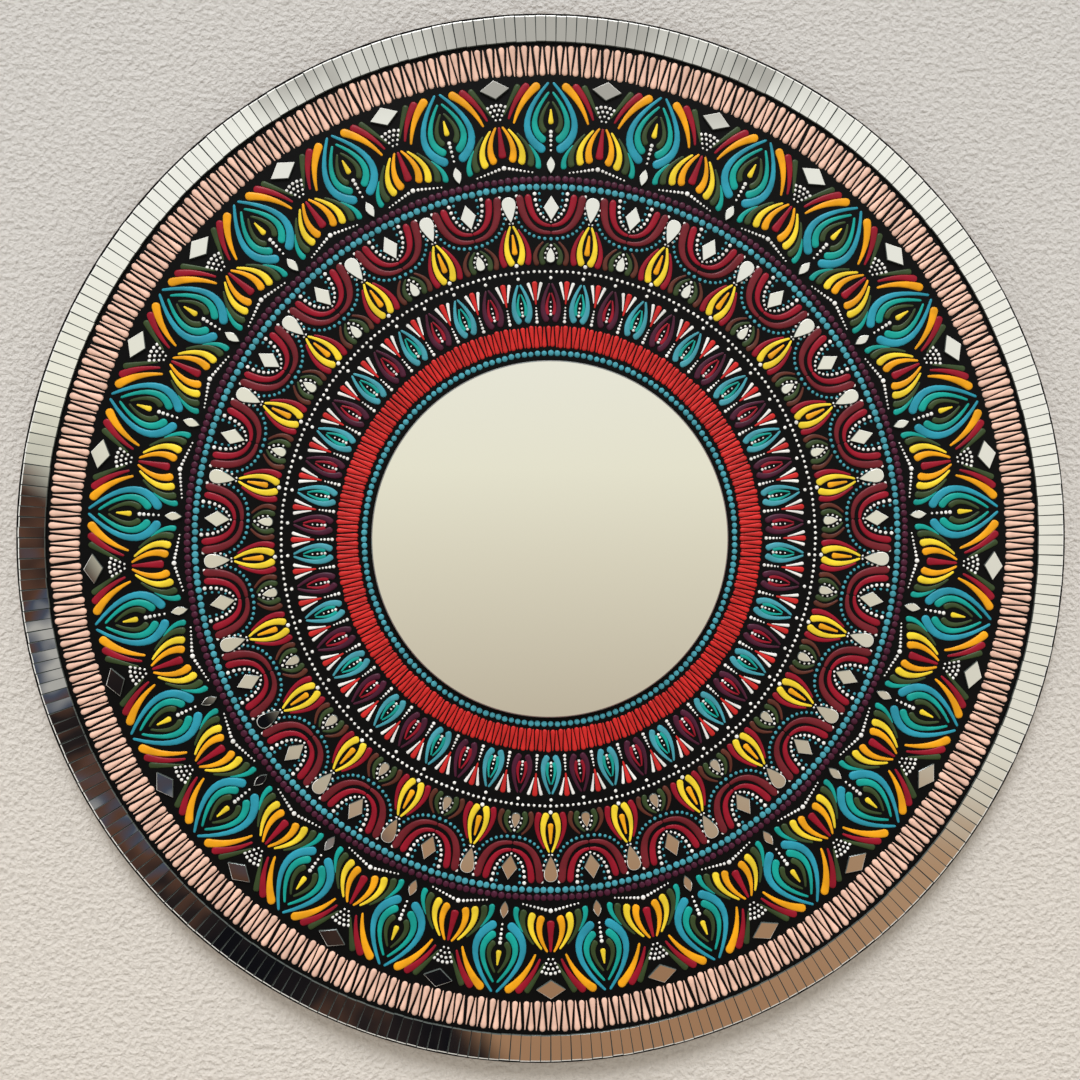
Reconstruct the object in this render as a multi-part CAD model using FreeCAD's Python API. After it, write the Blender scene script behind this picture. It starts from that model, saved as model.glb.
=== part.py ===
# Round mandala wall mirror: a black board with a mirror at its centre, mirror inlays and raised
# paint in rings around it, a rim of mirror tiles, and two ring hangers on its back.
# The wall is the plane y = 0, the front faces -Y, and +Z is up. Lengths are millimetres.
import FreeCAD, Part
import math
import os

# Repeats around the axis
sector_count = 25
tile_count = 315
tiles_per_bed = 9
bumper_count = 4
leaves_per_sector = 2
mastic_dab_count = 8

# Corners of hand-cut and hand-painted outlines
petal_side_steps = 4
leaf_side_steps = 3
drop_crown_steps = 4
scallop_steps = 5
dab_corners = 8
wire_corners = 8
ring_corner_steps = 2
ring_top_steps = 10
screw_corners = 10
bumper_corners = 20

# Board
board_diameter = 900.0
board_thickness = 12.0
board_edge_bevel = 0.8

# Rim of mirror tiles
tile_length = 24.0
tile_joint = 0.5
tile_thickness = 2.0
tile_setback = 0.8
bed_thickness = 0.6
bed_setback = 2.0

# Centre mirror and its dabs of mastic
mirror_diameter = 305.0
mirror_thickness = 4.0
mirror_edge_bevel = 1.0
mastic_thickness = 1.0
mastic_dab_diameter = 36.0
mastic_circle_share = 0.7

# The painted field runs from the centre mirror to the tiles. Bands: inner and outer edge, as shares of it
inlay_thickness = 2.0
paint_thickness = 0.8
leaf_band_shares = (0.115, 0.285)
scallop_band_shares = (0.29, 0.528)
petal_band_shares = (0.59, 0.885)

# Raised paint: length as a share of the band, width as a share of the step between copies
leaf_length_share = 0.76
leaf_width_share = 0.72
flame_length_share = 0.57
flame_width_share = 0.26
scallop_length_share = 0.57
scallop_width_share = 0.79
scallop_stroke_share = 0.16
petal_base_share = 0.19
petal_length_share = 0.79
petal_width_share = 0.5

# Mirror inlays: middle and length as shares of the band, width as a share of the step
outer_diamond_shares = (0.905, 0.2, 0.26)
marquise_shares = (0.076, 0.18, 0.087)
inner_diamond_shares = (0.79, 0.33, 0.19)
drop_shares = (0.79, 0.34, 0.165)
teardrop_shares = (0.17, 0.2, 0.125)

# Wall bumpers
bumper_height = 6.0
bumper_diameter = 20.0
bumper_face_diameter = 16.0
bumper_circle_radius = 380.0

# Ring hangers: strap, eye, ring and screws
hanger_spacing = 500.0
hanger_height = 200.0
strap_width = 12.0
strap_thickness = 1.2
strap_length = 33.0
upper_screw_drop = 9.0
screw_spacing = 18.0
ring_wire_diameter = 3.0
ring_inner_width = 20.0
ring_corner_radius = 3.0
ring_leg_length = 6.0
ring_clearance = 0.1
ring_lean_degrees = 3.0
screw_shank_diameter = 3.0
screw_head_diameter = 6.4
screw_head_height = 1.8
screw_depth = 8.0
screw_point_length = 2.0
screw_hole_clearance = 0.2
pilot_clearance = 0.05
cut_overrun = 1.0

# Places worked out from the sizes above
board_radius = board_diameter / 2
board_rear = -bumper_height
board_front = board_rear - board_thickness
mirror_radius = mirror_diameter / 2
tile_outer_radius = board_radius - tile_setback
tile_inner_radius = tile_outer_radius - tile_length
field_width = tile_inner_radius - mirror_radius
eye_bore_radius = ring_wire_diameter / 2 + ring_clearance
eye_radius = eye_bore_radius + strap_thickness
pivot_y = board_rear + eye_radius
strap_face = board_rear + strap_thickness

origin = FreeCAD.Vector(0, 0, 0)
axis_x = FreeCAD.Vector(1, 0, 0)
axis_y = FreeCAD.Vector(0, 1, 0)


def point(x, y, z):
    return FreeCAD.Vector(x, y, z)


def revolve(profile):
    """Turns closed points (radius, y) about the axis of the mirror."""
    corners = [point(radius, y, 0) for radius, y in profile]
    face = Part.Face(Part.makePolygon(corners + corners[:1]))
    return face.revolve(origin, axis_y, 360)


def prism(wire, thickness):
    """A plate standing on the board's front, from a wire drawn on that face."""
    return Part.Face(wire).extrude(point(0, -thickness, 0))


def repeat(shape, count, first_share=0.0):
    """Copies of a shape round the axis; first_share is the share of a step that the first is turned."""
    copies = []
    for index in range(count):
        copy = shape.copy()
        copy.rotate(origin, axis_y, (index + first_share) * 360.0 / count)
        copies.append(copy)
    return Part.makeCompound(copies)


def at(x, z, y=board_front):
    return point(x, y, z)


def line(start, end):
    return Part.LineSegment(start, end).toShape()


def arc(start, through, end):
    return Part.Arc(start, through, end).toShape()


def band(shares):
    """The inner radius and the height of a band of the painted field."""
    inner_share, outer_share = shares
    return mirror_radius + inner_share * field_width, (outer_share - inner_share) * field_width


def step_at(radius, count):
    """The distance from one copy to the next, round the ring at a radius."""
    return 2 * math.pi * radius / count


def polygon(corners):
    """A closed outline on the board's front from corners (x, z)."""
    places = [at(x, z) for x, z in corners]
    return Part.makePolygon(places + places[:1])


def diamond(middle_radius, length, width):
    return polygon([
        (0, middle_radius + length / 2),
        (width / 2, middle_radius),
        (0, middle_radius - length / 2),
        (-width / 2, middle_radius),
    ])


def leaf(middle_radius, length, width, side_steps):
    """Two bowed sides that meet in a point at each end; the bow is half a sine wave."""
    right = []
    for index in range(side_steps + 1):
        share = index / side_steps
        bow = width / 2 * math.sin(math.pi * share)
        right.append((bow, middle_radius + (share - 1 / 2) * length))
    left = [(-x, z) for x, z in right[-2:0:-1]]
    return polygon(right + left)


def drop(middle_radius, length, width, outward):
    """A round end and a point; outward is 1 where the round end is the outer one, and -1 where it isn't."""
    round_radius = width / 2
    centre = middle_radius + outward * (length / 2 - round_radius)
    lean = math.asin(round_radius / (length - round_radius))
    sweep = math.pi + 2 * lean
    corners = [(0, middle_radius - outward * length / 2)]
    for index in range(drop_crown_steps + 1):
        turn = -lean + sweep * index / drop_crown_steps
        corners.append((round_radius * math.cos(turn), centre + outward * round_radius * math.sin(turn)))
    return polygon(corners)


def scallop(top_radius, depth, width, stroke):
    """A half oval band that hangs inwards from a ring."""
    outer = []
    inner = []
    for index in range(scallop_steps + 1):
        turn = math.pi * index / scallop_steps
        outer.append((width / 2 * math.cos(turn), top_radius - depth * math.sin(turn)))
        inner.append(((width / 2 - stroke) * math.cos(turn), top_radius - (depth - stroke) * math.sin(turn)))
    return polygon(outer + inner[::-1])


def inlays(outline, band_shares, shares, first_share, *shape_values):
    """Mirror pieces of one kind, one in each sector."""
    inner_radius, height = band(band_shares)
    middle_share, length_share, width_share = shares
    middle = inner_radius + middle_share * height
    width = width_share * step_at(middle, sector_count)
    wire = outline(middle, length_share * height, width, *shape_values)
    return repeat(prism(wire, inlay_thickness), sector_count, first_share)


def painted_leaves(band_shares, base_share, length_share, width_share, side_steps, count, first_share):
    """Leaves that stand on a band's inner edge, or on a share of its height."""
    inner_radius, height = band(band_shares)
    length = length_share * height
    middle = inner_radius + base_share * height + length / 2
    wire = leaf(middle, length, width_share * step_at(middle, count), side_steps)
    return repeat(prism(wire, paint_thickness), count, first_share)


def painted_scallops():
    inner_radius, height = band(scallop_band_shares)
    top_radius = inner_radius + height
    depth = scallop_length_share * height
    width = scallop_width_share * step_at(top_radius, sector_count)
    wire = scallop(top_radius, depth, width, scallop_stroke_share * depth)
    return repeat(prism(wire, paint_thickness), sector_count)


def hanger_points():
    left = point(-hanger_spacing / 2, pivot_y, hanger_height)
    right = point(hanger_spacing / 2, pivot_y, hanger_height)
    return {"left": left, "right": right}


def screw_heights():
    return [-upper_screw_drop, -upper_screw_drop - screw_spacing]


def screw_points():
    return [point(pivot.x, strap_face, pivot.z + height)
            for pivot in hanger_points().values() for height in screw_heights()]


def cylinder_y(centre, radius, start_y, end_y):
    return Part.makeCylinder(radius, end_y - start_y, point(centre.x, start_y, centre.z), axis_y)


def backing_board():
    """The round board, bevelled at both edges, with pilot holes for the hanger screws."""
    bevel_radius = board_radius - board_edge_bevel
    board = revolve([
        (0, board_rear),
        (bevel_radius, board_rear),
        (board_radius, board_rear - board_edge_bevel),
        (board_radius, board_front + board_edge_bevel),
        (bevel_radius, board_front),
        (0, board_front),
    ])
    pilot_radius = screw_shank_diameter / 2 + pilot_clearance
    pilot_bottom = strap_face - screw_depth - pilot_clearance
    for centre in screw_points():
        pilot = [(pilot_radius, pilot_bottom), (pilot_radius, board_rear + cut_overrun)]
        board = board.cut(many_sided(centre, screw_corners, pilot))
    return board


def regular_polygon(radius, corners, middle_z=0):
    steps = [2 * math.pi * index / corners for index in range(corners)]
    return polygon([(radius * math.sin(turn), middle_z + radius * math.cos(turn)) for turn in steps])


def tile_bed():
    """The ring of adhesive under the tiles, brushed on in straight lengths."""
    lengths = tile_count // tiles_per_bed
    outer = Part.Face(regular_polygon(tile_outer_radius - bed_setback, lengths))
    inner = Part.Face(regular_polygon(tile_inner_radius + bed_setback, lengths))
    return outer.cut(inner).extrude(point(0, -bed_thickness, 0))


def border_tiles():
    """One tile is a flat trapezium, so that the joints are as wide at both ends."""
    half_step = math.pi / tile_count
    outer_half = tile_outer_radius * math.sin(half_step) - tile_joint / 2
    inner_half = tile_inner_radius * math.sin(half_step) - tile_joint / 2
    top = tile_outer_radius * math.cos(half_step)
    tile = prism(polygon([
        (-inner_half, tile_inner_radius),
        (inner_half, tile_inner_radius),
        (outer_half, top),
        (-outer_half, top),
    ]), tile_thickness)
    tile.translate(point(0, -bed_thickness, 0))
    return repeat(tile, tile_count)


def mirror_mastic():
    """Dabs of mastic in a ring under the centre mirror, and one at its middle."""
    dab_radius = mastic_dab_diameter / 2
    middle = prism(regular_polygon(dab_radius, dab_corners), mastic_thickness)
    dab = prism(regular_polygon(dab_radius, dab_corners, mastic_circle_share * mirror_radius), mastic_thickness)
    return Part.makeCompound([middle, repeat(dab, mastic_dab_count)])


def centre_mirror():
    """A round mirror with its front edge bevelled."""
    rear = board_front - mastic_thickness
    front = rear - mirror_thickness
    return revolve([
        (0, rear),
        (mirror_radius, rear),
        (mirror_radius, front + mirror_edge_bevel),
        (mirror_radius - mirror_edge_bevel, front),
        (0, front),
    ])


def many_sided(centre, corners, sections):
    """A solid along +Y through many-sided sections (radius, y), with straight walls between them."""
    wires = []
    for radius, y in sections:
        turns = [2 * math.pi * index / corners for index in range(corners)]
        places = [point(centre.x + radius * math.sin(turn), y, centre.z + radius * math.cos(turn)) for turn in turns]
        wires.append(Part.makePolygon(places + places[:1]))
    return Part.makeLoft(wires, True, True)


def wall_bumpers():
    """Low cones of rubber, narrow at the wall."""
    centre = point(0, 0, bumper_circle_radius)
    bumper = many_sided(centre, bumper_corners, [(bumper_diameter / 2, board_rear), (bumper_face_diameter / 2, 0)])
    return repeat(bumper, bumper_count, first_share=0.5)


def hanger_strap(pivot):
    """A strap with a rounded foot, two screw holes, and an eye that is rolled round the ring."""
    half = strap_width / 2
    foot_z = pivot.z - strap_length + half
    top_left = point(pivot.x - half, board_rear, pivot.z)
    top_right = point(pivot.x + half, board_rear, pivot.z)
    foot_left = point(pivot.x - half, board_rear, foot_z)
    foot_right = point(pivot.x + half, board_rear, foot_z)
    foot = point(pivot.x, board_rear, pivot.z - strap_length)
    wire = Part.Wire([
        line(top_left, top_right),
        line(top_right, foot_right),
        arc(foot_right, foot, foot_left),
        line(foot_left, top_left),
    ])
    strap = Part.Face(wire).extrude(point(0, strap_thickness, 0))
    eye_start = point(pivot.x - half, pivot.y, pivot.z)
    strap = strap.fuse(Part.makeCylinder(eye_radius, strap_width, eye_start, axis_x))
    bore_start = point(pivot.x - half - cut_overrun, pivot.y, pivot.z)
    bore_length = strap_width + 2 * cut_overrun
    strap = strap.cut(Part.makeCylinder(eye_bore_radius, bore_length, bore_start, axis_x))
    hole_radius = screw_shank_diameter / 2 + screw_hole_clearance
    for height in screw_heights():
        centre = point(pivot.x, board_rear, pivot.z + height)
        strap = strap.cut(cylinder_y(centre, hole_radius, board_rear - cut_overrun, strap_face + cut_overrun))
    return strap.removeSplitter()


def hanger_ring(pivot):
    """A D of round wire: a straight bar in the eye, two legs and a half round top."""
    half = (ring_inner_width + ring_wire_diameter) / 2
    leg_top = ring_corner_radius + ring_leg_length
    places = [(0, 0)]
    for index in range(ring_corner_steps + 1):
        turn = math.pi / 2 * index / ring_corner_steps
        corner_x = half - ring_corner_radius + ring_corner_radius * math.sin(turn)
        places.append((corner_x, ring_corner_radius - ring_corner_radius * math.cos(turn)))
    for index in range(ring_top_steps + 1):
        turn = math.pi * index / ring_top_steps
        places.append((half * math.cos(turn), leg_top + half * math.sin(turn)))
    for index in range(ring_corner_steps + 1):
        turn = math.pi / 2 * (1 - index / ring_corner_steps)
        corner_x = half - ring_corner_radius + ring_corner_radius * math.sin(turn)
        places.append((-corner_x, ring_corner_radius - ring_corner_radius * math.cos(turn)))
    points = [pivot + point(x, 0, z) for x, z in places]
    path = Part.makePolygon(points + points[:1])
    turns = [2 * math.pi * index / wire_corners for index in range(wire_corners)]
    wire_radius = ring_wire_diameter / 2
    corners = [pivot + point(0, wire_radius * math.cos(turn), wire_radius * math.sin(turn)) for turn in turns]
    section = Part.makePolygon(corners + corners[:1])
    ring = path.makePipeShell([section], True, False, 1)
    ring.rotate(pivot, axis_x, ring_lean_degrees)
    return ring


def hanger_screws():
    """Pan head screws: a head with a sloping crown on the strap, a shank in the board and a point."""
    head_radius = screw_head_diameter / 2
    shank_radius = screw_shank_diameter / 2
    head = many_sided(origin, screw_corners, [
        (head_radius, 0),
        (head_radius, screw_head_height / 2),
        (shank_radius, screw_head_height),
    ])
    shank = many_sided(origin, screw_corners, [
        (shank_radius / 2, -screw_depth),
        (shank_radius, -screw_depth + screw_point_length),
        (shank_radius, 0),
    ])
    screw = head.fuse(shank).removeSplitter()
    screws = []
    for centre in screw_points():
        copy = screw.copy()
        copy.translate(centre)
        screws.append(copy)
    return Part.makeCompound(screws)


nodes = {
    "backing_board": backing_board(),
    "tile_adhesive": tile_bed(),
    "border_tiles": border_tiles(),
    "mirror_mastic": mirror_mastic(),
    "centre_mirror": centre_mirror(),
    "outer_diamond_inlays": inlays(diamond, petal_band_shares, outer_diamond_shares, 0.5),
    "marquise_inlays": inlays(leaf, petal_band_shares, marquise_shares, 0, leaf_side_steps),
    "inner_diamond_inlays": inlays(diamond, scallop_band_shares, inner_diamond_shares, 0),
    "drop_inlays": inlays(drop, scallop_band_shares, drop_shares, 0.5, 1),
    "teardrop_inlays": inlays(drop, scallop_band_shares, teardrop_shares, 0, -1),
    "lotus_petals": painted_leaves(petal_band_shares, petal_base_share, petal_length_share,
                                   petal_width_share, petal_side_steps, sector_count, 0),
    "scallops": painted_scallops(),
    "flame_leaves": painted_leaves(scallop_band_shares, 0, flame_length_share,
                                   flame_width_share, leaf_side_steps, sector_count, 0.5),
    "ring_leaves": painted_leaves(leaf_band_shares, 0, leaf_length_share,
                                  leaf_width_share, leaf_side_steps, sector_count * leaves_per_sector, 0),
    "wall_bumpers": wall_bumpers(),
    "hanger_screws": hanger_screws(),
}
for side, pivot in hanger_points().items():
    nodes[side + "_hanger_strap"] = hanger_strap(pivot)
    nodes[side + "_hanger_ring"] = hanger_ring(pivot)

os.makedirs("parts", exist_ok=True)
for name, shape in nodes.items():
    solids = shape.Solids
    volume = sum(solid.Volume for solid in solids)
    print(name, len(solids), "solids", round(volume, 1), "mm3", "valid", shape.isValid())
    shape.exportStep("parts/" + name + ".step")
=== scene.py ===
# %% [markdown]
# # A mandala wall mirror
# The real thing is a round black board with a mirror glued to its middle. Rings of thick paint,
# pulled into strokes or set down as dots, run round that mirror, with cut pieces of mirror laid
# among them and a rim of small mirror tiles outside. This lesson dresses the solid model of it.
# Everything repeats round one axis, so one motif is drawn once and a node tree carries it round.

# %% Load the solid model
import math
import bmesh
import bpy
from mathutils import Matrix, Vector


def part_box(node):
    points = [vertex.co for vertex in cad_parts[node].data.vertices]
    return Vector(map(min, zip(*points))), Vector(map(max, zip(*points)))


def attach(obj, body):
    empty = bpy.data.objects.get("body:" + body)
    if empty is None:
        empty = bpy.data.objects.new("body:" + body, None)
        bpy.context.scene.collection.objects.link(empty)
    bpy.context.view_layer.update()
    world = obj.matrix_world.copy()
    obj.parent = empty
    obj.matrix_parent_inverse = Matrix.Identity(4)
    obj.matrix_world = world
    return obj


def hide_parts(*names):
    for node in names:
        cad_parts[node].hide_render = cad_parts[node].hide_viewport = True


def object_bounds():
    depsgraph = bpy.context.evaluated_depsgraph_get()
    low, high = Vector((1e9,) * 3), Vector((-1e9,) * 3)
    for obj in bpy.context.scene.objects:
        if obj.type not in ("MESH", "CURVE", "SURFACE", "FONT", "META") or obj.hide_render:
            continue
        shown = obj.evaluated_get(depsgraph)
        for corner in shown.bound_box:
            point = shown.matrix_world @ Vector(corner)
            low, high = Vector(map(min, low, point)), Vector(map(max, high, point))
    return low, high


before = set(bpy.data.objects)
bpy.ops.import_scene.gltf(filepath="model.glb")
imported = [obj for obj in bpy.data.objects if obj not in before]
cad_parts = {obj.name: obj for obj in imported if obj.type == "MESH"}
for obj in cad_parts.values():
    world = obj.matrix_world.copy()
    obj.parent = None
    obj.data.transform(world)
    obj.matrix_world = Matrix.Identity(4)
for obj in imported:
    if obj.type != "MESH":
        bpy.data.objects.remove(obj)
cad_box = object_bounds()
MM = 0.001
AROUND = 2 * math.pi
print("nodes:", len(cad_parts), "box:", cad_box)

# %% [markdown]
# ## Sizes from the model
# The solids already say where each ring lies, so the radii are read from them and not typed again.
# A ring's span is the least and the greatest distance of its corners from the mirror's axis.

# %% Read the rings
sector_count = 25
tile_count = 315


def ring_span(node):
    radii = [math.hypot(v.co.x, v.co.z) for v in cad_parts[node].data.vertices]
    return min(radii), max(radii)


board_low, board_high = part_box("backing_board")
board_radius = min(abs(reach) for corner in (board_low, board_high) for reach in (corner.x, corner.z))
board_front = board_low.y
board_rear = board_high.y
mirror_radius = ring_span("centre_mirror")[1]
tile_inner, tile_outer = ring_span("border_tiles")
field_width = tile_inner - mirror_radius


def field_radius(share):
    """A radius in the painted field: 0 is the centre mirror's edge and 1 the tiles' edge."""
    return mirror_radius + share * field_width


print("board", board_radius, "mirror", mirror_radius, "tiles", tile_inner, tile_outer)

# %% [markdown]
# ## Node trees as sums
# Shader and geometry trees are easier to read as sums than as lists of links. `Sock` wraps one
# output socket, so `0.3 + 0.1 * noise` adds its own Math nodes. `Tree.node` makes any other node:
# its settings come first, then the values or links of its sockets.


# %% Wrap node sockets
class Sock:
    """One output of a node; sums on it add Math nodes to its tree."""

    def __init__(self, tree, out):
        self.tree = tree
        self.out = out

    def sum(self, operation, first, second):
        return self.tree.node("ShaderNodeMath", {"operation": operation}, {0: first, 1: second})

    def __add__(self, other):
        return self.sum("ADD", self, other)

    def __radd__(self, other):
        return self.sum("ADD", other, self)

    def __sub__(self, other):
        return self.sum("SUBTRACT", self, other)

    def __rsub__(self, other):
        return self.sum("SUBTRACT", other, self)

    def __mul__(self, other):
        return self.sum("MULTIPLY", self, other)

    def __rmul__(self, other):
        return self.sum("MULTIPLY", other, self)

    def __truediv__(self, other):
        return self.sum("DIVIDE", self, other)

    def at_most(self, limit):
        return self.sum("MINIMUM", self, limit)


class Tree:
    """A node tree with one method that adds any node, and short names for the common ones."""

    def __init__(self, nodes_and_links):
        self.nodes = nodes_and_links.nodes
        self.links = nodes_and_links.links

    def feed(self, socket, value):
        if isinstance(value, Sock):
            self.links.new(value.out, socket)
        else:
            socket.default_value = value

    def node(self, kind, settings=None, inputs=None, output=0):
        made = self.nodes.new(kind)
        for key, value in (settings or {}).items():
            if key == "stops":
                self.set_stops(made.color_ramp, value)
            else:
                setattr(made, key, value)
        for key, value in (inputs or {}).items():
            self.feed(made.inputs[key], value)
        return Sock(self, made.outputs[output])

    def set_stops(self, ramp, stops):
        while len(ramp.elements) < len(stops):
            ramp.elements.new(1.0)
        for element, (place, colour) in zip(ramp.elements, stops):
            element.position = place
            element.color = colour

    def place(self):
        return self.node("ShaderNodeTexCoord", output="Object")

    def axis(self, vector, name):
        return self.node("ShaderNodeSeparateXYZ", None, {"Vector": vector}, name)

    def noise(self, place, scale, detail):
        inputs = {"Vector": place, "Scale": scale, "Detail": detail}
        return self.node("ShaderNodeTexNoise", None, inputs)

    def band(self, value, low, high):
        """0 below low, 1 above high, and smooth between."""
        settings = {"interpolation_type": "SMOOTHSTEP"}
        inputs = {"Value": value, "From Min": low, "From Max": high}
        return self.node("ShaderNodeMapRange", settings, inputs)

    def mix(self, share, first, second):
        settings = {"data_type": "RGBA"}
        return self.node("ShaderNodeMix", settings, {0: share, 6: first, 7: second}, 2)

    def ramp(self, value, stops):
        return self.node("ShaderNodeValToRGB", {"stops": stops}, {"Fac": value})

    def relief(self, shader, strength, depth, height):
        """Feeds a shader's Normal with a bump that is depth high, in metres."""
        inputs = {"Strength": strength, "Distance": depth, "Height": height}
        self.feed(shader.inputs["Normal"], self.node("ShaderNodeBump", None, inputs))


print("socket helpers ready")

# %% [markdown]
# ## Paint
# The strokes are thick acrylic, which levels out into satin domes with a faint ripple. A painted
# texture could show that, but noise needs no picture and suits a stroke of any length. One function
# makes every colour, with the same fine ripple as bump and a slow change of tone, so that no two
# dots are quite alike.


# %% Paint finishes
def srgb(red, green, blue):
    """A colour as a paint chart gives it, 0 to 255, turned into linear light."""
    linear = []
    for value in (red, green, blue):
        share = value / 255
        linear.append(share / 12.92 if share <= 0.04045 else ((share + 0.055) / 1.055) ** 2.4)
    return (*linear, 1.0)


def shade(colour, factor):
    return (colour[0] * factor, colour[1] * factor, colour[2] * factor, 1.0)


def new_finish(name):
    material = bpy.data.materials.new(name)
    material.use_nodes = True
    material.node_tree.nodes.clear()
    tree = Tree(material.node_tree)
    shader = material.node_tree.nodes.new("ShaderNodeBsdfPrincipled")
    output = material.node_tree.nodes.new("ShaderNodeOutputMaterial")
    material.node_tree.links.new(shader.outputs[0], output.inputs["Surface"])
    return material, tree, shader


def acrylic(name, colour):
    material, tree, shader = new_finish(name)
    place = tree.place()
    tone = tree.noise(place, scale=55.0, detail=2.0)
    ripple = tree.noise(place, scale=900.0, detail=2.0)
    fleck = tree.noise(place, scale=260.0, detail=4.0)
    base = tree.mix(tree.band(tone, 0.3, 0.7), shade(colour, 0.84), shade(colour, 1.12))
    tree.feed(shader.inputs["Base Color"], base)
    tree.feed(shader.inputs["Roughness"], 0.34 + 0.16 * fleck)
    tree.relief(shader, strength=0.12, depth=0.3 * MM, height=ripple + fleck)
    shader.inputs["Specular IOR Level"].default_value = 0.26
    return material


paint_colours = {
    "teal": srgb(40, 150, 172),
    "turquoise": srgb(8, 160, 148),
    "blue": srgb(70, 157, 171),
    "green": srgb(54, 72, 38),
    "crimson": srgb(150, 8, 36),
    "red": srgb(204, 38, 35),
    "maroon": srgb(112, 26, 36),
    "brown": srgb(92, 44, 32),
    "plum": srgb(73, 21, 47),
    "orange": srgb(244, 166, 12),
    "yellow": srgb(246, 214, 48),
    "peach": srgb(242, 198, 176),
    "white": srgb(244, 243, 238),
}
paint = {name: acrylic(name + "_paint", colour) for name, colour in paint_colours.items()}
print("paints:", ", ".join(paint))

# %% [markdown]
# ## Mirror
# Mirror is silver under glass: nearly white, nearly smooth, with faint wipe marks that only show in
# the roughness. A cut edge has no silver. It could have a material of its own, but one material that
# reads an attribute of the mesh, `cut_edge`, keeps each piece of mirror whole: at 0 it is silvered,
# at 1 the metal is off and leaves dark green glass, and at 2 it is the near-white of a ground edge,
# a painted highlight where the edge catches the light.

# %% Mirror finishes
silvered = 0.0
bare_glass = 1.0
# 2 turns a cut edge near-white: a painted highlight where the edge catches the light.
ground_edge_highlight = 2.0


def mirror_glass(name, silver, smear):
    material, tree, shader = new_finish(name)
    edge = tree.node("ShaderNodeAttribute", {"attribute_name": "cut_edge"}, None, "Fac")
    place = tree.place()
    wipe = tree.noise(place, scale=14.0, detail=4.0)
    speck = tree.noise(place, scale=420.0, detail=2.0)
    cut = edge.at_most(bare_glass)
    # Painted highlight: edges marked 2 go near-white and rougher.
    edge_highlight = tree.band(edge, bare_glass, ground_edge_highlight)
    base = tree.mix(edge_highlight, tree.mix(cut, silver, srgb(96, 104, 100)), srgb(246, 246, 240))
    tree.feed(shader.inputs["Base Color"], base)
    tree.feed(shader.inputs["Metallic"], 1.0 - 0.9 * cut)
    dirt = tree.band(wipe, 0.45, 0.8) + 0.35 * tree.band(speck, 0.68, 0.8)
    tree.feed(shader.inputs["Roughness"], 0.012 + smear * dirt + 0.12 * cut + 0.3 * edge_highlight)
    return material


tile_glass = mirror_glass("tile_mirror", srgb(249, 249, 246), 0.05)
inlay_glass = mirror_glass("inlay_mirror", srgb(240, 240, 236), 0.04)
centre_glass = mirror_glass("centre_mirror_glass", srgb(246, 246, 243), 0.012)
print("mirrors:", tile_glass.name, inlay_glass.name, centre_glass.name)

# %% [markdown]
# ## Board, metal and rubber
# The board is fibreboard: satin black on its front and its rim, bare brown fibre behind. Two
# materials on two sets of faces would do, but a switch on depth gives the paint a soft end at the
# back edge. The hangers are plated steel with a slight bloom. Rubber, the glue and the painted shade
# in the screw recesses share one dull finish.

# %% Board, metal and rubber finishes
paint_end = 1.2 * MM
fibre_start = 0.2 * MM


def board_finish():
    """Black paint stops between paint_end and fibre_start short of the back."""
    material, tree, shader = new_finish("painted_fibreboard")
    place = tree.place()
    behind = tree.band(tree.axis(place, "Y"), board_rear - paint_end, board_rear - fibre_start)
    roller = tree.noise(place, scale=420.0, detail=4.0)
    patch = tree.noise(place, scale=9.0, detail=4.0)
    fibre = tree.noise(place, scale=1300.0, detail=5.0)
    black = tree.mix(patch, srgb(7, 7, 8), srgb(13, 13, 13))
    bare = tree.mix(0.6 * fibre + 0.4 * patch, srgb(126, 96, 66), srgb(168, 134, 98))
    tree.feed(shader.inputs["Base Color"], tree.mix(behind, black, bare))
    tree.feed(shader.inputs["Roughness"], 0.42 + 0.16 * roller + 0.32 * behind)
    tree.relief(shader, strength=0.25, depth=0.3 * MM, height=roller + 0.5 * fibre)
    shader.inputs["Specular IOR Level"].default_value = 0.08
    return material


def plated_steel():
    material, tree, shader = new_finish("plated_steel")
    place = tree.place()
    bloom = tree.noise(place, scale=160.0, detail=4.0)
    grain = tree.noise(place, scale=1500.0, detail=2.0)
    tree.feed(shader.inputs["Base Color"], tree.mix(bloom, srgb(176, 178, 180), srgb(214, 214, 210)))
    shader.inputs["Metallic"].default_value = 1.0
    tree.feed(shader.inputs["Roughness"], 0.2 + 0.22 * bloom)
    tree.relief(shader, strength=0.08, depth=0.2 * MM, height=grain)
    return material


def dull_black(name, colour, rough):
    material, tree, shader = new_finish(name)
    mottle = tree.noise(tree.place(), scale=240.0, detail=4.0)
    tree.feed(shader.inputs["Base Color"], tree.mix(mottle, shade(colour, 0.7), shade(colour, 1.4)))
    tree.feed(shader.inputs["Roughness"], rough + 0.15 * mottle)
    tree.relief(shader, strength=0.3, depth=0.2 * MM, height=mottle)
    return material


board_paint = board_finish()
steel = plated_steel()
rubber = dull_black("bumper_rubber", srgb(38, 38, 38), 0.6)
# One dull black serves the glue and the painted shade of the screw recesses.
glue_and_recess_shade = dull_black("black_glue_and_recess_shade", srgb(20, 20, 21), 0.5)
print("finishes:", len(bpy.data.materials))

# %% [markdown]
# ## One tree that carries a piece round the axis
# Every ring on this board is one piece repeated. An array modifier could repeat it, but each copy
# would be the same. This tree sets points round the axis, turns each copy to face outwards, and lets
# a hand's unevenness in: a small slip along the ring, a small rise along the radius, a small tilt
# and a small change of size. It ends in real faces and one finish.

# %% Build the ring tree
second_draw = 1000


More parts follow.
